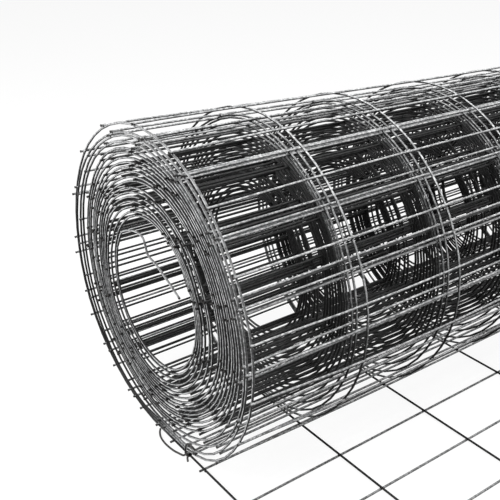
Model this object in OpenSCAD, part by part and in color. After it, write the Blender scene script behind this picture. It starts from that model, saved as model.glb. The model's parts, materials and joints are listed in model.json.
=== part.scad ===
// Roll of welded wire fencing on its side, with the loose end of the sheet flat on the floor in front of it.
// Millimetres. X points along the loose end, Y along the roll and Z up; the floor is at zero.

/* [Mesh] */
// Diameter of the fence wire
wire_d = 1.8; // [1.4:0.1:2.6]
// Spacing of the line wires, which run round the roll
line_pitch = 100; // [50:5:150]
// Spacing of the cross wires, which run along the roll
cross_pitch = 50; // [40:1:75]
// Number of line wires across the height of the fence
line_count = 11; // [5:1:17]
// Length of a cross wire past the outer line wires
overhang = 4; // [2:0.5:12]
// Depth to which two wires sink into each other at a weld
weld = 0.3; // [0.1:0.05:0.5]

/* [Roll] */
// Radius of the outermost turn, to the middle of its line wires
roll_r = 138; // [120:1:180]
// Radius of the open bore inside the innermost turn
bore_r = 64; // [40:1:80]
// Number of turns that show on the two ends
turns = 19; // [8:1:22]
// Wall between the bore and the innermost turn that shows
bore_lip = 0.2; // [0.1:0.05:0.4]

/* [Loose end] */
// Distance of the first whole cell from the foot of the roll
first_x = 69; // [66:1:80]
// Number of whole cells that lie flat in front of the roll
loose_cells = 6; // [4:1:12]
// Length of the line wires past the last cross wire
cut_end = 20; // [5:1:35]
// Length of the sheet that lies flat behind the foot of the roll
under_roll = 36; // [34:1:42]
// Gap between the flat sheet and the turns that rest on it
seat_gap = 0.1; // [0.05:0.05:0.3]

/* [Tie wire] */
// Diameter of the cut tie wire
tie_d = 1.2; // [0.8:0.1:1.2]
// Distance of the tie from the last cross wire under the roll
tie_place = 22; // [16:1:28]
// Width of the loop along the edge of the mesh
tie_span = 44; // [36:1:48]
// Room between the loop and the end of the cross wire inside it
tie_room = 2.6; // [1.5:0.1:6]
// Gap between the tie wire and the wire that it holds
tie_gap = 0.15; // [0.05:0.05:0.3]
// Length along the edge wire that one wrap of the tie takes
tie_pitch = 4; // [3:0.5:8]
// Width of the hook at the cut end, which stands in front of the turns
hook_w = 10; // [7:0.5:14]
// Height of the hook above the floor
hook_h = 17; // [14:0.5:22]

/* [Hidden] */
zinc = [0.62, 0.63, 0.64];
iron = [0.22, 0.21, 0.21];
$fa = 3;
$fs = 1;

// Half the distance between the two outer line wires, and the length of a cross wire
edge = (line_count - 1) * line_pitch / 2;
cross_len = 2 * (edge + overhang);
// Radius of the cross wires, which are welded to the outside of the line wires
cross_r = roll_r + wire_d - weld;
hoop_r = roll_r + wire_d / 2;
turn_pitch = (roll_r - bore_r - bore_lip - wire_d / 2) / (turns - 1);

// Reach of an eight-sided wire from its middle, at an angle from one of its flats
function wire_reach(a) = wire_d / 2 / cos(22.5) * cos(abs((a % 45 + 45) % 45 - 22.5));

// The flat part: cross wires on the floor and the line wires on top of them
line_z = wire_d / 2 + wire_d - weld;
line_top = line_z + wire_d / 2;
line_end = first_x + loose_cells * cross_pitch + cut_end;
// Cross wires of the flat part that lie under the roll
under_count = floor((first_x + under_roll - wire_d) / cross_pitch);

// Place of the tie along the edge, between two cross wires
tie_x = first_x - cross_pitch + tie_place;

// The cross wires on the roll carry on from those under it, up its back and down its front as far as the tie
cross_step = cross_pitch / roll_r * 180 / PI;
bar_start = ((under_count + 1) * cross_pitch - first_x) / roll_r * 180 / PI;
bar_end = 360 - max(cross_step, asin((tie_x + tie_pitch + hook_w + wire_d) / cross_r));
bar_count = floor((bar_end - bar_start) / cross_step) + 1;
bar_angles = [for (j = [0 : bar_count - 1]) bar_start + j * cross_step];

// The roll rests on the flat part
axis_z = line_top + seat_gap + hoop_r;
back_x = max(concat([hoop_r], [for (a = bar_angles) cross_r * sin(a) + wire_reach(90 - a)]));
// The box around the whole roll is centred on zero
roll_x = (back_x - line_end) / 2;

// The tie hooks up in front of the turns, goes once round the edge wire of the flat part, and bows out over
// the floor in front of it
wrap_r = wire_d / 2 + tie_d / 2 + tie_gap;
hook_r = (hook_w - tie_d) / 2;
tie_low = max(tie_d / 2, line_z - wrap_r);
tie_hook = [
  for (a = [20 : 20 : 180])
    [tie_x + tie_pitch + hook_r * (1 + cos(a)), -edge - wrap_r, hook_h - tie_d / 2 - hook_r * (1 - sin(a))]
];
tie_wrap = [
  for (a = [0 : 30 : 360])
    [tie_x + tie_pitch * (1 - a / 360), -edge - wrap_r * cos(a), line_z - wrap_r * sin(a)]
];
tie_bow = [
  for (t = [0.05 : 0.05 : 1])
    [tie_x - tie_span * t, -edge - wrap_r - (overhang + tie_room) * sin(180 * t), tie_low]
];
tie_path = concat(tie_hook, tie_wrap, tie_bow);
tie_sides = 6;

// An eight-sided wire across its flats, and lengths of it along X and Y
module wire_section(turn) {
  rotate(turn) circle(d = wire_d / cos(22.5), $fn = 8);
}

module wire_x(length) {
  rotate([90, 0, 90]) rotate(22.5) cylinder(d = wire_d / cos(22.5), h = length, $fn = 8);
}

module wire_y(length) {
  rotate([90, 0, 0]) rotate(22.5) cylinder(d = wire_d / cos(22.5), h = length, center = true, $fn = 8);
}

// Half section of the wound turns: a hoop at each line wire, and the turns showing on both ends.
// The turns on the ends have no flat along the bore, so that none reads as the wall of a hole.
module roll_profile() {
  translate([bore_r, -edge]) square([roll_r - bore_r, 2 * edge]);
  for (n = [0 : line_count - 1]) {
    translate([roll_r, n * line_pitch - edge]) wire_section(22.5);
  }
  for (i = [1 : turns - 1], side = [-1, 1]) {
    translate([roll_r - i * turn_pitch, side * edge]) wire_section(11.25);
  }
}

// The wound part as one turned solid, with the cross wires of the outermost turn
module rolled_turns() {
  color(zinc) translate([roll_x, 0, axis_z]) {
    rotate([-90, 0, 0]) rotate_extrude() roll_profile();
    for (a = bar_angles) {
      rotate([0, a, 0]) translate([0, 0, -cross_r]) wire_y(cross_len);
    }
  }
}

// The flat welded mesh, from just behind the foot of the roll out to its cut end
module loose_end() {
  color(zinc) translate([roll_x, 0, 0]) {
    for (n = [0 : line_count - 1]) {
      translate([-under_roll, n * line_pitch - edge, line_z]) wire_x(line_end + under_roll);
    }
    for (k = [-under_count : loose_cells]) {
      translate([first_x + k * cross_pitch, 0, wire_d / 2]) wire_y(cross_len);
    }
  }
}

// A round wire swept along a path, its cross section carried from point to point without twist
function unit(v) = v / norm(v);
function heading(path, i) = unit(path[min(i + 1, len(path) - 1)] - path[max(i - 1, 0)]);
function square_to(v, t) = unit(v - (v * t) * t);
function sweep_normals(path) = [
  for (i = 0, v = square_to([0, 0, 1], heading(path, 0));
    i < len(path);
    i = i + 1, v = square_to(v, heading(path, min(i, len(path) - 1)))) v
];
function sweep_points(path, r, sides) = let (normals = sweep_normals(path)) [
  for (i = [0 : len(path) - 1], s = [0 : sides - 1])
    path[i] + r * cos(360 * s / sides) * normals[i]
      + r * sin(360 * s / sides) * cross(heading(path, i), normals[i])
];
function sweep_faces(count, sides) = concat(
  [[for (s = [0 : sides - 1]) s]],
  [[for (s = [0 : sides - 1]) count * sides - 1 - s]],
  [for (i = [0 : count - 2], s = [0 : sides - 1])
    [i * sides + s, (i + 1) * sides + s, (i + 1) * sides + (s + 1) % sides]],
  [for (i = [0 : count - 2], s = [0 : sides - 1])
    [i * sides + s, (i + 1) * sides + (s + 1) % sides, i * sides + (s + 1) % sides]]
);

// The cut binding wire, still wrapped round the edge wire of the loose end
module tie_wire() {
  color(iron) translate([roll_x, 0, 0]) polyhedron(
    points = sweep_points(tie_path, tie_d / 2, tie_sides),
    faces = sweep_faces(len(tie_path), tie_sides)
  );
}

rolled_turns();
loose_end();
tie_wire();
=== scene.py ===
"""A roll of welded wire fencing on its side, with its loose end flat on the floor in front of it."""
import json
import math

import bpy
import numpy as np
from mathutils import Matrix, Vector


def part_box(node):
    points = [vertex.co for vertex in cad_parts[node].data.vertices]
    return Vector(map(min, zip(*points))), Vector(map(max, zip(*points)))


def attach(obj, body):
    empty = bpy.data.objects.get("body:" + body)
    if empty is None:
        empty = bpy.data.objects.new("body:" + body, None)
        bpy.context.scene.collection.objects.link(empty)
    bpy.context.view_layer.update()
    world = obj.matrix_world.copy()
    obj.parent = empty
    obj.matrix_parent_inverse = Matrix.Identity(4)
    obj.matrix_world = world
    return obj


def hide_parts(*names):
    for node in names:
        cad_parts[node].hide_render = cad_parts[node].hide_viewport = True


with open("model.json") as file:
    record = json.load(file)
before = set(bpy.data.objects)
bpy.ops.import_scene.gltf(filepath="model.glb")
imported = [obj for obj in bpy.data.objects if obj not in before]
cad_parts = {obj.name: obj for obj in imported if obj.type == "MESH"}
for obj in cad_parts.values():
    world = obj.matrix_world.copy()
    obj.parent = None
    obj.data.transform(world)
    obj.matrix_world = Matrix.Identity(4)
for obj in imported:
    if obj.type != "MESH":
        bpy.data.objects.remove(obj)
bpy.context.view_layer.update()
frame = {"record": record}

# Line wires: eleven drawn steel wires as long as the fencing, wound round and round the roll and flat on
# the floor in front of it. Each was welded to every cross wire and then zinc coated, and its ends are cut
# square. Lengths are in millimetres, and each mesh is scaled to metres as it is made.
MM = 0.001
wire_d = 1.8
coat_depth = 0.05
wire_r = wire_d / 2 + coat_depth
weld_depth = 0.3
line_pitch = 100.0
line_count = 11
edge_y = line_pitch * (line_count - 1) / 2
line_y = np.linspace(-edge_y, edge_y, line_count)
stack = wire_d - weld_depth
sheet_thickness = wire_d + stack
flat_cross_z = wire_r
flat_line_z = flat_cross_z + stack

bore = next(m for m in frame["record"]["mounts"] if m["name"] == "bore")
bore_x = bore["pos_m"][0] / MM
cut_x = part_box("loose_end")[1][0] / MM
foot_ahead = 2.3
foot_x = bore_x + foot_ahead
axis_z = 137.5
full_turn = 2 * math.pi
whole_turns = 19
last_angle = math.radians(360 * whole_turns + 112)

# Distance from the axis of some turns, counted from the outermost, at every thirty degrees from the foot of
# the roll up its back, over the top and down its front. The turns left out lie evenly between. The outer
# four hang loose, the next ones are tight, and the inner ones are open.
station_angle = math.radians(30)
turn_radii = {
    0: (135.1, 138.3, 141.5, 139.3, 138.4, 138.0, 137.9, 136.0, 133.8, 136.0, 138.5, 141.0),
    1: (132.3, 136.3, 139.9, 138.2, 135.5, 131.0, 130.5, 129.8, 127.5, 128.4, 131.8, 135.8),
    2: (131.3, 134.8, 134.0, 131.2, 129.6, 128.4, 127.5, 123.5, 122.3, 125.2, 128.6, 129.0),
    3: (125.4, 123.7, 125.4, 124.0, 124.6, 124.2, 123.0, 120.6, 119.0, 120.8, 122.4, 123.5),
    4: (119.8, 115.7, 116.0, 115.1, 115.8, 118.6, 118.0, 117.2, 115.6, 117.4, 117.6, 116.2),
    6: (113.8, 111.2, 111.6, 110.2, 109.8, 110.7, 111.1, 110.9, 109.7, 110.8, 110.6, 109.3),
    7: (109.8, 106.6, 106.8, 105.0, 106.0, 106.8, 107.7, 107.8, 106.8, 107.5, 107.1, 105.8),
    9: (104.2, 102.2, 102.2, 101.9, 100.2, 98.9, 100.9, 101.5, 100.9, 100.9, 100.0, 98.9),
    10: (100.4, 98.0, 97.6, 99.3, 97.0, 94.9, 97.4, 98.3, 97.9, 97.6, 96.5, 95.5),
    11: (97.6, 96.3, 96.0, 93.5, 93.5, 91.0, 94.0, 95.2, 95.0, 94.3, 93.0, 92.0),
    12: (94.4, 93.2, 93.0, 90.4, 90.4, 87.4, 86.8, 85.3, 84.2, 85.3, 88.0, 88.5),
    13: (91.0, 90.2, 90.2, 87.0, 87.0, 83.7, 83.5, 82.6, 81.0, 81.6, 83.2, 84.5),
    14: (87.7, 87.2, 88.0, 83.8, 83.6, 80.0, 80.0, 78.7, 75.2, 75.9, 78.2, 80.5),
    15: (84.0, 84.5, 85.5, 81.2, 80.0, 76.5, 75.2, 72.0, 71.0, 71.6, 73.0, 76.5),
    16: (80.3, 81.8, 83.0, 78.3, 74.8, 72.3, 71.2, 69.4, 68.2, 68.8, 69.4, 72.3),
    17: (74.7, 75.3, 75.2, 72.0, 68.8, 68.0, 67.8, 66.6, 65.8, 66.2, 66.2, 68.2),
    18: (68.6, 68.2, 67.2, 64.7, 64.2, 64.0, 64.8, 64.4, 63.6, 63.7, 63.2, 64.3),
    19: (64.7, 64.7, 64.8, 62.0, 60.6, 60.0, 60.0, 60.0, 60.0, 60.0, 60.0, 60.0),
}
every_turn = np.arange(whole_turns + 1)
columns = zip(*turn_radii.values())
stations = np.stack([np.interp(every_turn, list(turn_radii), column) for column in columns], 1)
stations = np.concatenate([[stations[0, 0]], stations.ravel()])


def curve_between(a, b, c, d, f):
    """A smooth curve through four values in a row, at a fraction of the way from the second to the third."""
    return b + 0.5 * f * (c - a + f * (2 * a - 5 * b + 4 * c - d + f * (3 * (b - c) + d - a)))


def loose_radius(angle):
    """Radius of the turns as they show on the near end, at an angle wound on from the foot."""
    t = np.asarray(angle) / station_angle + 1
    i = np.clip(np.floor(t).astype(int), 1, len(stations) - 3)
    return curve_between(*(stations[i + k] for k in (-1, 0, 1, 2)), t - i)


even_outer, even_inner = 137.0, 64.5
even_share = 0.55


def even_radius(angle):
    """Radius of the turns where the roll is evenly wound."""
    return even_outer - (even_outer - even_inner) * np.asarray(angle) / last_angle


def swell(angle, middle, spread):
    """One at an angle, and less and less on both sides of it."""
    return np.exp(-((angle - middle) / spread) ** 2)


# The wires wander a little in and out in two waves: how far, and how often round the roll and along it.
wanders = ((0.15, 2.3, 0.004), (0.1, 5.7, 0.011))
# The near end is flared. Behind it the roll gets tighter over some length, by so much in radius, with its
# front and its foot in line.
roll_r = 138.0
tighter_by, tighter_within, tighter_bend = 14.0, 450.0, 1.2
tighter_side = math.radians(135)
# The outer turns bulge just before the foot, and bag out in front near the second and third line wires.
# Angles are measured back from the foot.
loose_turns = 3
bulge, bulge_at, bulge_spread = 11.0, 0.44, 0.33
bag, bag_at, bag_spread = 12.0, 1.65, 0.85
bag_along, bag_share = (0, 30, 100, 220, 340, 450), (0, 0.15, 1, 1, 0.35, 0)


def turn_radius(angle, y):
    """Radius of the turns at a place along the roll: loose at the near end, more even at the far end."""
    from_end = np.maximum(y + edge_y, 0)
    along = np.minimum(from_end / (2 * edge_y), 1)
    evenness = even_share * along * along * (3 - 2 * along)
    radius = (1 - evenness) * loose_radius(angle) + evenness * even_radius(angle)
    for far, often_round, often_along in wanders:
        radius = radius + far * np.sin(often_round * angle + often_along * y)
    tighter = tighter_by * np.tanh((from_end / tighter_within) ** tighter_bend)
    radius = radius - tighter * radius / roll_r * (1 + math.sqrt(2) * np.cos(angle - tighter_side))
    turn = np.round(np.asarray(angle) / full_turn)
    slack = np.clip(1 - np.asarray(angle) / full_turn / loose_turns, 0, 1)
    before_foot = full_turn * turn - angle
    radius = radius + bulge * evenness * slack * swell(before_foot, bulge_at, bulge_spread)
    bagged = np.interp(from_end, bag_along, bag_share)
    radius = radius + bag * bagged * slack * slack * swell(before_foot, bag_at, bag_spread)
    # The weight of the roll flattens its foot against the turns already on the floor
    down = np.cos(angle)
    room = axis_z - flat_line_z - turn * sheet_thickness
    return np.where(down > 0.5, np.minimum(radius, room / np.maximum(down, 0.5)), radius)


def creep(angle):
    """How far a turn has crept along the roll."""
    u = np.maximum(np.asarray(angle) / full_turn - 0.2, 0)
    return np.minimum(u, 1) * (0.2 * np.sin(1.1 * u + 0.4) + 0.1 * np.sin(2.7 * u + 2.0))


def on_roll(angle, y, lift=0.0):
    """Points on the wound sheet, or lifted off it towards the outside, and the outward normals there."""
    angle, y = np.broadcast_arrays(np.asarray(angle, float), np.asarray(y, float))
    step = 1e-3
    points = []
    for a in (angle, angle - step, angle + step):
        r = turn_radius(a, y)
        points.append(np.stack([foot_x - r * np.sin(a), y + creep(a), axis_z - r * np.cos(a)], -1))
    tangent = points[2] - points[1]
    normal = np.stack([tangent[..., 2], np.zeros_like(angle), -tangent[..., 0]], -1)
    outward = np.stack([-np.sin(angle), np.zeros_like(angle), -np.cos(angle)], -1)
    normal *= np.sign((normal * outward).sum(-1, keepdims=True))
    normal /= np.linalg.norm(normal, axis=-1, keepdims=True)
    return points[0] + lift * normal, normal


def new_piece(name, verts, faces, smooth, values):
    """A mesh object in metres from points in millimetres, with named values at its points."""
    mesh = bpy.data.meshes.new(name)
    sizes = np.concatenate([np.full(len(f), f.shape[1]) for f in faces])
    corners = np.concatenate([f.ravel() for f in faces])
    starts = np.concatenate([[0], np.cumsum(sizes)[:-1]])
    mesh.vertices.add(len(verts))
    mesh.vertices.foreach_set("co", (verts * MM).ravel())
    mesh.loops.add(len(corners))
    mesh.loops.foreach_set("vertex_index", corners.astype(np.int32))
    mesh.polygons.add(len(sizes))
    mesh.polygons.foreach_set("loop_start", starts.astype(np.int32))
    mesh.polygons.foreach_set("use_smooth", np.repeat(smooth, [len(f) for f in faces]))
    mesh.update(calc_edges=True)
    for key, value in values.items():
        mesh.attributes.new(key, "FLOAT", "POINT").data.foreach_set("value", value.astype(np.float32))
    piece = bpy.data.objects.new(name, mesh)
    bpy.context.scene.collection.objects.link(piece)
    return piece


class Wires:
    """Collects round wires as tubes, to be made into one mesh."""

    def __init__(self, sides):
        self.sides = sides
        self.count = 0
        self.verts, self.quads, self.caps = [], [], []
        self.bare, self.pale_top, self.pale_side = [], [], []

    def add(self, path, normal, radius, pale_top, pale_side=0.0, burnt=2.5):
        """One wire along a path, with a direction square to it at each point, bare at its cut ends."""
        n, s = len(path), self.sides
        tangent = np.gradient(path, axis=0)
        tangent /= np.linalg.norm(tangent, axis=1, keepdims=True)
        normal = normal - (normal * tangent).sum(1, keepdims=True) * tangent
        normal /= np.linalg.norm(normal, axis=1, keepdims=True)
        side = np.cross(tangent, normal)
        around = full_turn * np.arange(s)[None, :, None] / s
        radius = np.broadcast_to(radius, n)[:, None, None]
        ring = radius * (np.cos(around) * normal[:, None] + np.sin(around) * side[:, None])
        self.verts.append((path[:, None] + ring).reshape(-1, 3))
        run = np.concatenate([[0], np.cumsum(np.linalg.norm(np.diff(path, axis=0), axis=1))])
        self.bare.append(np.repeat(np.clip(1 - np.minimum(run, run[-1] - run) / burnt, 0, 1), s))
        self.pale_top.append(np.repeat(np.broadcast_to(pale_top, n), s))
        self.pale_side.append(np.repeat(np.broadcast_to(pale_side, n), s))
        i = np.arange(n - 1)[:, None] * s
        j = np.arange(s)[None]
        k = (j + 1) % s
        self.quads.append(self.count + np.stack([i + j, i + k, i + s + k, i + s + j], -1).reshape(-1, 4))
        self.caps.append(self.count + np.arange(s)[::-1])
        self.caps.append(self.count + (n - 1) * s + np.arange(s))
        self.count += n * s

    def build(self, name):
        """The collected wires as one mesh object."""
        faces = [np.concatenate(self.quads), np.stack(self.caps)]
        values = {
            "bare": np.concatenate(self.bare),
            "pale_top": np.concatenate(self.pale_top),
            "pale_side": np.concatenate(self.pale_side),
        }
        return new_piece(name, np.concatenate(self.verts), faces, [True, False], values)


def smooth_path(points, spacing):
    """A smooth curve through a few points, with a point about every so many millimetres."""
    points = np.asarray(points, float)
    ends = np.concatenate([[2 * points[0] - points[1]], points, [2 * points[-1] - points[-2]]])
    path = []
    for a, b, c, d in zip(ends, ends[1:], ends[2:], ends[3:]):
        f = np.arange(0, 1, min(1.0, spacing / np.linalg.norm(c - b)))[:, None]
        path.append(curve_between(a, b, c, d, f))
    return np.concatenate(path + [points[-1:]])


# Painted light: pale on the outer turns, fading to painted shade further in, reaching deeper over the top
pale_outside, pale_per_turn, pale_least = 2.3, 0.45, 0.08
deeper_on_top = 0.15


def painted_lit_share(angle):
    """Painted light on the zinc: most on the outer turns and over the top, painted shade inside."""
    depth = np.asarray(angle) / full_turn * (1 - deeper_on_top * np.maximum(0, -np.cos(angle)))
    return np.clip(pale_outside - pale_per_turn * depth, pale_least, 1)


# Where round the roll the ends lie in shade, in degrees from the foot, and how deep the shade is there
shade_angles = (0, 10, 100, 150, 220, 245, 290, 320, 340, 360)
shade_depths = (0.6, 1, 1, 0, 0, 0.6, 0.6, 0, 0, 0.6)
shaded_turns = 5
shade_inside = 0.35


def end_shade(angle):
    """Painted light left on the ends under painted shade: little low at back, none on outer turns there."""
    wrapped = np.degrees(np.asarray(angle)) % 360
    shaded = np.interp(wrapped, shade_angles, shade_depths)
    outer = np.clip(shaded_turns - np.asarray(angle) / full_turn, 0, 1) * (wrapped < 180)
    return 1 - shaded * (shade_inside + (1 - shade_inside) * outer)


# The inner end of the near edge wire has come off the roll and is bent across the bore. These are its points
# from the axis, along X and Z.
bent_end = [
    (-49, 35), (-40, 41), (-25, 46), (-13, 46.5), (-8, 42),
    (-5, 34), (-1, 31.5), (9, 29), (27, 21), (42, 13.5),
]
bend_spacing = 2.5
# Painted light: none on the flat line wires, which show painted shade; half on edge wire tops, extra on ends
flat_line_pale = 0.0
edge_top_pale, edge_side_pale = 0.5, 1.3
turn_step = math.radians(7.2)
flat_x = np.linspace(cut_x, foot_x, 30)[:-1]
turn_angles = np.arange(0, last_angle, turn_step)
line_wires = Wires(8)
for n, y in enumerate(line_y):
    flat = np.stack([flat_x, np.full_like(flat_x, y), np.full_like(flat_x, flat_line_z)], -1)
    path, normal = on_roll(turn_angles, y)
    pale = painted_lit_share(turn_angles)
    at_edge = n in (0, line_count - 1)
    if at_edge:
        pale = edge_top_pale * pale * end_shade(turn_angles)
    if n == 0:
        bend = [(foot_x + x, path[-1, 1] - 0.03 * k, axis_z + z) for k, (x, z) in enumerate(bent_end)]
        bend = smooth_path(np.concatenate([path[-1:], bend]), bend_spacing)[1:]
        path = np.concatenate([path, bend])
        normal = np.concatenate([normal, np.tile([0.0, 1.0, 0.0], (len(bend), 1))])
        pale = np.concatenate([pale, np.full(len(bend), edge_top_pale)])
    path = np.concatenate([flat, path])
    normal = np.concatenate([np.tile([0.0, 0.0, -1.0], (len(flat), 1)), normal])
    pale = np.concatenate([np.full(len(flat), flat_line_pale), pale])
    side = np.zeros(len(path))
    if at_edge:
        side[len(flat):] = edge_side_pale
        side[len(flat):len(flat) + len(turn_angles)] *= end_shade(turn_angles)
    line_wires.add(path, normal, wire_r, pale, side)
line_piece = line_wires.build("line_wires")


def add_node(tree, kind, place, **settings):
    """A new node with some of its settings, and values for inputs given by name."""
    node = tree.nodes.new(kind)
    node.location = place
    for key, value in settings.pop("inputs", {}).items():
        node.inputs[key].default_value = value
    for key, value in settings.items():
        setattr(node, key, value)
    return node


# Coat of a wire, shared by the fence and its tie. Painted light makes the sides facing the light pale, in
# bright and dull patches broken by specks; the rest is painted shade, and the cut ends are bare steel.
coat = bpy.data.node_groups.new("wire_coat", "ShaderNodeTree")
coat_inputs = (
    ("Bright", "NodeSocketColor", (0.6, 0.6, 0.6, 1)),
    ("Dull", "NodeSocketColor", (0.4, 0.4, 0.4, 1)),
    ("Film", "NodeSocketColor", (0.05, 0.05, 0.05, 1)),
    ("Steel", "NodeSocketColor", (0.03, 0.03, 0.03, 1)),
    ("Patches per metre", "NodeSocketFloat", 70.0),
    ("Specks per metre", "NodeSocketFloat", 420.0),
)
coat_outputs = (
    ("Color", "NodeSocketColor"),
    ("Roughness", "NodeSocketFloat"),
    ("Height", "NodeSocketFloat"),
)
for name, kind, value in coat_inputs:
    coat.interface.new_socket(name, in_out="INPUT", socket_type=kind).default_value = value
for name, kind in coat_outputs:
    coat.interface.new_socket(name, in_out="OUTPUT", socket_type=kind)

# Painted light falls on the sides that face this way, up and towards +X
light_from = (0.45, 0.0, 0.89)
given = add_node(coat, "NodeGroupInput", (-1400, 0))
result = add_node(coat, "NodeGroupOutput", (900, 0))
place = add_node(coat, "ShaderNodeNewGeometry", (-1400, -300))
pale_top = add_node(coat, "ShaderNodeAttribute", (-1400, -600), attribute_name="pale_top")
pale_side = add_node(coat, "ShaderNodeAttribute", (-1400, -1000), attribute_name="pale_side")
bare = add_node(coat, "ShaderNodeAttribute", (-1400, -800), attribute_name="bare")
patches = add_node(coat, "ShaderNodeTexNoise", (-1100, 200), inputs={"Detail": 3.0, "Roughness": 0.6})
specks = add_node(coat, "ShaderNodeTexNoise", (-1100, -50), inputs={"Detail": 2.0, "Roughness": 0.55})
grain = add_node(coat, "ShaderNodeTexNoise", (-1100, -300), inputs={"Scale": 2600.0, "Detail": 1.0})
upward = add_node(coat, "ShaderNodeVectorMath", (-1100, -550), operation="DOT_PRODUCT",
                  inputs={1: light_from})
split = add_node(coat, "ShaderNodeSeparateXYZ", (-1300, -700))
endward = add_node(coat, "ShaderNodeMath", (-1100, -750), operation="ABSOLUTE")
patch_mask = add_node(coat, "ShaderNodeMapRange", (-850, 200), inputs={"From Min": 0.38, "From Max": 0.62})
speck_mask = add_node(coat, "ShaderNodeMapRange", (-850, -50),
                      inputs={"From Min": 0.40, "From Max": 0.62, "To Min": 1.0, "To Max": 0.4})
up_mask = add_node(coat, "ShaderNodeMapRange", (-850, -550), interpolation_type="SMOOTHSTEP",
                   inputs={"From Min": 0.10, "From Max": 0.62})
end_mask = add_node(coat, "ShaderNodeMapRange", (-850, -800), interpolation_type="SMOOTHSTEP",
                    inputs={"From Min": 0.78, "From Max": 0.93})
# Painted light: on upward sides as pale_top asks, on end-facing sides as pale_side asks
top_light = add_node(coat, "ShaderNodeMath", (-700, -550), operation="MULTIPLY")
end_light = add_node(coat, "ShaderNodeMath", (-700, -800), operation="MULTIPLY")
painted_light = add_node(coat, "ShaderNodeMath", (-550, -450), operation="MAXIMUM")
broken = add_node(coat, "ShaderNodeMath", (-400, -250), operation="MULTIPLY", use_clamp=True)
tone = add_node(coat, "ShaderNodeMix", (-400, 200), data_type="RGBA")
coloured = add_node(coat, "ShaderNodeMix", (-100, 150), data_type="RGBA")
ended = add_node(coat, "ShaderNodeMix", (250, 100), data_type="RGBA")
rough = add_node(coat, "ShaderNodeMapRange", (250, -150), inputs={"To Min": 0.34, "To Max": 0.62})
bumps = add_node(coat, "ShaderNodeMath", (0, -600), operation="MULTIPLY_ADD", inputs={1: 0.5})

link = coat.links.new
for texture in (patches, specks, grain):
    link(place.outputs["Position"], texture.inputs["Vector"])
link(place.outputs["Normal"], upward.inputs[0])
link(place.outputs["Normal"], split.inputs[0])
link(split.outputs["Y"], endward.inputs[0])
link(given.outputs["Patches per metre"], patches.inputs["Scale"])
link(given.outputs["Specks per metre"], specks.inputs["Scale"])
link(patches.outputs["Fac"], patch_mask.inputs["Value"])
link(specks.outputs["Fac"], speck_mask.inputs["Value"])
link(upward.outputs["Value"], up_mask.inputs["Value"])
link(endward.outputs[0], end_mask.inputs["Value"])
link(up_mask.outputs[0], top_light.inputs[0])
link(pale_top.outputs["Fac"], top_light.inputs[1])
link(end_mask.outputs[0], end_light.inputs[0])
link(pale_side.outputs["Fac"], end_light.inputs[1])
link(top_light.outputs[0], painted_light.inputs[0])
link(end_light.outputs[0], painted_light.inputs[1])
link(painted_light.outputs[0], broken.inputs[0])
link(speck_mask.outputs[0], broken.inputs[1])
link(patch_mask.outputs[0], tone.inputs["Factor"])
link(given.outputs["Dull"], tone.inputs["A"])
link(given.outputs["Bright"], tone.inputs["B"])
link(broken.outputs[0], coloured.inputs["Factor"])
link(given.outputs["Film"], coloured.inputs["A"])
link(tone.outputs["Result"], coloured.inputs["B"])
link(bare.outputs["Fac"], ended.inputs["Factor"])
link(coloured.outputs["Result"], ended.inputs["A"])
link(given.outputs["Steel"], ended.inputs["B"])
link(specks.outputs["Fac"], rough.inputs["Value"])
link(grain.outputs["Fac"], bumps.inputs[0])
link(specks.outputs["Fac"], bumps.inputs[2])
link(ended.outputs["Result"], result.inputs["Color"])
link(rough.outputs[0], result.inputs["Roughness"])
link(bumps.outputs[0], result.inputs["Height"])


def coated_wire(name, specular, **colours):
    """A material with the coat of a wire in its own colours."""
    material = bpy.data.materials.new(name)
    material.use_nodes = True
    tree = material.node_tree
    shader = tree.nodes["Principled BSDF"]
    shader.inputs["Specular IOR Level"].default_value = specular
    group = add_node(tree, "ShaderNodeGroup", (-500, 0), node_tree=coat)
    for key, value in colours.items():
        group.inputs[key.capitalize()].default_value = value
    bump = add_node(tree, "ShaderNodeBump", (-250, -300), inputs={"Strength": 0.5, "Distance": 0.0003})
    tree.links.new(group.outputs["Color"], shader.inputs["Base Color"])
    tree.links.new(group.outputs["Roughness"], shader.inputs["Roughness"])
    tree.links.new(group.outputs["Height"], bump.inputs["Height"])
    tree.links.new(bump.outputs["Normal"], shader.inputs["Normal"])
    return material


# Bright and dull are the zinc under painted light; the dark colour is its painted shade
fence_zinc = coated_wire("fence_zinc", 0.1, bright=(0.60, 0.605, 0.61, 1), dull=(0.36, 0.365, 0.37, 1),
                         film=(0.014, 0.014, 0.014, 1), steel=(0.02, 0.019, 0.018, 1))
line_piece.data.materials.append(fence_zinc)
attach(line_piece, "root")
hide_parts("rolled_turns", "loose_end")

# Cross wires: straight steel wires that hold the line wires together, sheared off just past the edges. They
# are welded to the outside of the turns, and lie under the line wires where the sheet is flat.
cross_pitch = 50.0
first_cross_ahead = 69.0
first_cross_x = bore_x + first_cross_ahead
flat_cross_x = np.arange(first_cross_x - cross_pitch, cut_x, cross_pitch)
stub, far_stub, flat_stub = (2.6, 3.6), (1.8, 2.6), (3.2, 3.7)
sheared = 1.2
# Painted light on the flat cross wires: half of it
flat_cross_pale = 0.5
rng = np.random.default_rng(7)

# They are numbered by their length along the third line wire from the last one that lies flat, and up the
# back they sit a little further on
fine_angles = np.linspace(0, last_angle, 8000)
third_wire, _ = on_roll(fine_angles, line_y[2])
length = np.concatenate([[0], np.cumsum(np.linalg.norm(np.diff(third_wire, axis=0), axis=1))])
wire_number = (length - (foot_x - (first_cross_x - 2 * cross_pitch))) / cross_pitch
back_angles, back_shift = (0, 58, 104), (0.08, 0.12, 0.4)
wire_number = wire_number - np.interp(np.degrees(fine_angles), back_angles, back_shift)
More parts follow.
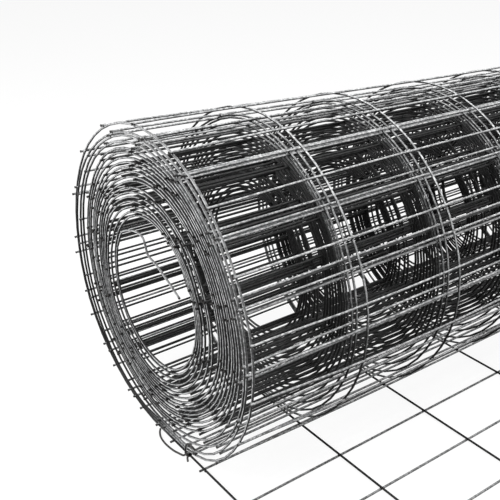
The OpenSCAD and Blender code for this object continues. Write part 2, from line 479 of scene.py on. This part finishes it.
# The wires of the turns are nearly in line at the front, and those of every second turn at the back, where
# they show as bands
band_angles = np.array([[100], [260]])
steps = np.array([[0.5], [1.0]])
off_band = 0.2
marks = np.radians(360 * np.arange(1, whole_turns) + band_angles)
per_turn = np.diff(np.interp(marks, fine_angles, wire_number), axis=1)
drift = np.cumsum(np.round(per_turn / steps) * steps - per_turn, axis=1)
drift = np.concatenate([[[0], [0]], drift], axis=1)
drift = drift + steps * rng.uniform(-off_band, off_band, marks.shape)
wire_number = wire_number + np.interp(fine_angles, marks.T.ravel(), drift.T.ravel())
cross_angles = np.interp(np.arange(0, wire_number[-1] - 0.1), wire_number, fine_angles)


tip_step, tip_points = 1.2, 3
middle_inset, middle_points = 20, 17


def cross_stations(reach, far_reach):
    """Places along a cross wire, with more of them at its two ends, and its radius, spread where sheared."""
    low, high = -edge_y - rng.uniform(*reach), edge_y + rng.uniform(*far_reach)
    tip = tip_step * np.arange(tip_points)
    middle = np.linspace(-edge_y + middle_inset, edge_y - middle_inset, middle_points)
    ys = np.concatenate([low + tip, middle, high - tip[::-1]])
    radii = np.full(len(ys), wire_r)
    radii[[0, -1]] *= sheared
    return ys, radii


# The first one in front of the roll is pulled a little towards it at the near end
pull, pull_start, pull_length = 3.5, 100, 600
cross_wires = Wires(8)
for x in flat_cross_x:
    ys, _ = cross_stations(flat_stub, flat_stub)
    pulled = pull * np.clip((pull_start - ys) / pull_length, 0, 1) * (x == flat_cross_x[1])
    path = np.stack([x - pulled, ys, np.full_like(ys, flat_cross_z)], -1)
    cross_wires.add(path, np.tile([0.0, 0.0, 1.0], (len(ys), 1)), wire_r, flat_cross_pale)
for angle in cross_angles:
    ys, radii = cross_stations(stub, far_stub)
    path, normal = on_roll(np.full_like(ys, angle), ys, stack)
    cross_wires.add(path, normal, radii, painted_lit_share(angle))
cross_piece = cross_wires.build("cross_wires")
cross_piece.data.materials.append(fence_zinc)
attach(cross_piece, "root")

# Welds: at every crossing the two wires were pressed together hot and sank into each other, which left a
# small flat bead of steel between them, under the zinc.
bead_width, bead_height = 2.5, 1.7
bead_sides = 6
bead_bare = 0.15
bead_spread = (0.85, 1.15)
k = np.arange(bead_sides)
after = (k + 1) % bead_sides
bead = [(0, 0, -1)]
for latitude in (-0.75, 0.0, 0.75):
    for a in full_turn * k / bead_sides:
        bead.append((math.cos(latitude) * math.cos(a), math.cos(latitude) * math.sin(a), math.sin(latitude)))
bead = np.array(bead + [(0, 0, 1)]) * (bead_width / 2, bead_width / 2, bead_height / 2)
low, waist, high, crown = 1 + bead_sides * np.arange(4)
bead_caps = np.concatenate([
    np.stack([0 * k, low + after, low + k], 1),
    np.stack([0 * k + crown, high + k, high + after], 1),
])
bead_walls = np.concatenate([
    np.stack([low + k, low + after, waist + after, waist + k], 1),
    np.stack([waist + k, waist + after, high + after, high + k], 1),
])

# Welds take the painted light of the wound turns they sit on, and painted shade where flat
weld_at, weld_up, weld_pale = [], [], []
flat_weld_z = np.full_like(flat_cross_x, flat_cross_z + stack / 2)
for y in line_y:
    flat = np.stack([flat_cross_x, np.full_like(flat_cross_x, y), flat_weld_z], 1)
    wound, wound_up = on_roll(cross_angles, y, stack / 2)
    weld_at += [flat, wound]
    weld_up += [np.tile([0.0, 0.0, 1.0], (len(flat), 1)), wound_up]
    weld_pale += [np.full(len(flat), flat_line_pale), painted_lit_share(cross_angles)]
weld_at, weld_up = np.concatenate(weld_at), np.concatenate(weld_up)
weld_along = np.tile([0.0, 1.0, 0.0], (len(weld_at), 1))
weld_across = np.cross(weld_along, weld_up)
weld_axes = np.stack([weld_across, weld_along, weld_up], 1)
spread = rng.uniform(*bead_spread, (len(weld_at), 1, 1))
beads = weld_at[:, None] + spread * (bead @ weld_axes)
first = np.arange(len(weld_at))[:, None, None] * len(bead)
weld_faces = [(first + bead_walls).reshape(-1, 4), (first + bead_caps).reshape(-1, 3)]
weld_values = {
    "pale_top": np.repeat(np.concatenate(weld_pale), len(bead)),
    "bare": np.full(len(weld_at) * len(bead), bead_bare),
}
weld_piece = new_piece("welds", beads.reshape(-1, 3), weld_faces, [True, True], weld_values)
weld_piece.data.materials.append(fence_zinc)
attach(weld_piece, "root")

# Tie wire: soft dark iron wire that held the roll shut. It hooks up in front of the outer turns, is wrapped
# twice round the edge wire of the sheet, and its other cut end bows out over the floor. Points are along X
# from just behind the foot, along Y from the edge, and up from the floor.
tie_d = 1.7
tie_behind_foot = 3.0
tie_x = foot_x - tie_behind_foot
tie_spacing = 0.8
tie_hook = [
    (47.0, 2.4, 5.6), (51.0, 2.3, 6.8), (54.5, 1.6, 9.2), (55.4, 0.1, 13.0), (53.0, -1.4, 16.2),
    (48.5, -2.0, 16.8), (44.6, -2.2, 13.5), (43.2, -2.2, 9.0), (42.6, -2.2, 5.2),
]
wrap_x, wrap_step, wrap_z = 42.8, 0.2, 3.0
wrap_wide, wrap_high = 2.15, 2.1
tie_wrap = []
for k in range(17):
    a = k * full_turn / 8
    tie_wrap.append((wrap_x + wrap_step * k, -wrap_wide * math.cos(a), wrap_z - wrap_high * math.sin(a)))
tie_tip = [(47.0, -3.2, 1.6), (49.8, -4.6, 0.9)]
tie_bow = [
    (45.2, -2.4, 4.6), (43.4, -3.2, 3.0), (41.0, -3.8, 1.1), (36.0, -5.4, 0.9), (30.0, -7.0, 0.9),
    (19.0, -7.8, 0.9), (9.5, -6.6, 0.9), (3.0, -4.0, 0.9), (-1.5, -0.9, 0.9),
]
# The tie gets painted light in full on its upward sides; its darkest colour is painted shade
tie_wires = Wires(10)
for points in (tie_hook + tie_wrap + tie_tip, tie_bow):
    path = smooth_path([(tie_x + x, y - edge_y, z) for x, y, z in points], tie_spacing)
    tie_wires.add(path, np.tile([0.1, 0.3, 1.0], (len(path), 1)), tie_d / 2, 1.0, burnt=1.5)
tie_piece = tie_wires.build("tie_loop")
tie_iron = coated_wire("tie_iron", 0.2, bright=(0.075, 0.07, 0.068, 1), dull=(0.045, 0.042, 0.04, 1),
                       film=(0.02, 0.019, 0.018, 1), steel=(0.12, 0.115, 0.11, 1))
tie_piece.data.materials.append(tie_iron)
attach(tie_piece, "root")
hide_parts("tie_wire")

# Floor: a wide sheet of white paper under the roll. It shows white to the camera and in the wires, and its
# own matt surface keeps the shadow. Lengths from here on are in metres.
floor_half = 12.0
floor_white, floor_matt = 0.92, 0.1
floor_corners = [(x * floor_half, y * floor_half, 0) for x, y in ((-1, -1), (1, -1), (1, 1), (-1, 1))]
floor_mesh = bpy.data.meshes.new("floor")
floor_mesh.from_pydata(floor_corners, [], [(0, 1, 2, 3)])
floor = bpy.data.objects.new("floor", floor_mesh)
bpy.context.scene.collection.objects.link(floor)


def seen_directly(tree):
    """One for rays from the camera, a mirror or glass, and zero for the light that falls on things."""
    rays = add_node(tree, "ShaderNodeLightPath", (-900, 200))
    shiny = add_node(tree, "ShaderNodeMath", (-700, 100), operation="ADD")
    seen = add_node(tree, "ShaderNodeMath", (-500, 200), operation="ADD", use_clamp=True)
    tree.links.new(rays.outputs["Is Glossy Ray"], shiny.inputs[0])
    tree.links.new(rays.outputs["Is Transmission Ray"], shiny.inputs[1])
    tree.links.new(rays.outputs["Is Camera Ray"], seen.inputs[0])
    tree.links.new(shiny.outputs[0], seen.inputs[1])
    return seen.outputs[0]


paper = bpy.data.materials.new("floor_paper")
paper.use_nodes = True
tree = paper.node_tree
tree.nodes.remove(tree.nodes["Principled BSDF"])
white = add_node(tree, "ShaderNodeMath", (-300, 200), operation="MULTIPLY", inputs={1: floor_white})
glow = add_node(tree, "ShaderNodeEmission", (-100, 200))
matt = add_node(tree, "ShaderNodeBsdfDiffuse", (-100, 0),
                inputs={"Color": (floor_matt, floor_matt, floor_matt, 1)})
both = add_node(tree, "ShaderNodeAddShader", (100, 100))
tree.links.new(seen_directly(tree), white.inputs[0])
tree.links.new(white.outputs[0], glow.inputs["Strength"])
tree.links.new(glow.outputs[0], both.inputs[0])
tree.links.new(matt.outputs[0], both.inputs[1])
tree.links.new(both.outputs[0], tree.nodes["Material Output"].inputs["Surface"])
floor.data.materials.append(paper)

# Light: three soft boxes, one above the roll, one before its near end and one along its front on the right,
# and a little light all round. The wall behind shows white.
fill = 0.02
box_size = 0.6
soft_boxes = (
    ("top_box", (0.2, -0.2, 1.8), 36.0),
    ("front_box", (-0.4, -1.5, 0.9), 24.0),
    ("side_box", (1.5, 0.2, 0.8), 10.0),
)
lit_point = Vector((-0.1, 0.0, 0.12))
world = bpy.data.worlds.new("studio")
world.use_nodes = True
tree = world.node_tree
level = add_node(tree, "ShaderNodeMapRange", (-250, 200), inputs={"To Min": fill, "To Max": 1.0})
tree.links.new(seen_directly(tree), level.inputs["Value"])
tree.links.new(level.outputs[0], tree.nodes["Background"].inputs["Strength"])
tree.nodes["Background"].inputs["Color"].default_value = (1, 1, 1, 1)
bpy.context.scene.world = world
for name, box_place, power in soft_boxes:
    lamp = bpy.data.lights.new(name, "AREA")
    lamp.size = box_size
    lamp.energy = power
    box = bpy.data.objects.new(name, lamp)
    box.location = box_place
    box.rotation_euler = (lit_point - Vector(box_place)).to_track_quat("-Z", "Y").to_euler()
    bpy.context.scene.collection.objects.link(box)

# Camera: near the end of the roll and a little above it, looking along its front. Its place is measured from
# the middle of the bore, on the floor.
camera_place = Vector((0.52348, -0.77466, 0.45443)) + Vector((bore_x * MM, 0, 0))
forward = Vector((-0.73488, 0.52260, -0.43225)).normalized()
right = Vector((0.58614, 0.81002, -0.01718)).normalized()
up = right.cross(forward)
camera_data = bpy.data.cameras.new("camera")
camera_data.lens = 59.56
camera_data.sensor_width = 36.0
camera_data.clip_start = 0.01
camera_data.clip_end = 100.0
camera = bpy.data.objects.new("camera", camera_data)
camera.matrix_world = Matrix.Translation(camera_place) @ Matrix((right, up, -forward)).transposed().to_4x4()
bpy.context.scene.collection.objects.link(camera)
bpy.context.scene.camera = camera
bpy.context.scene.view_settings.view_transform = "Standard"
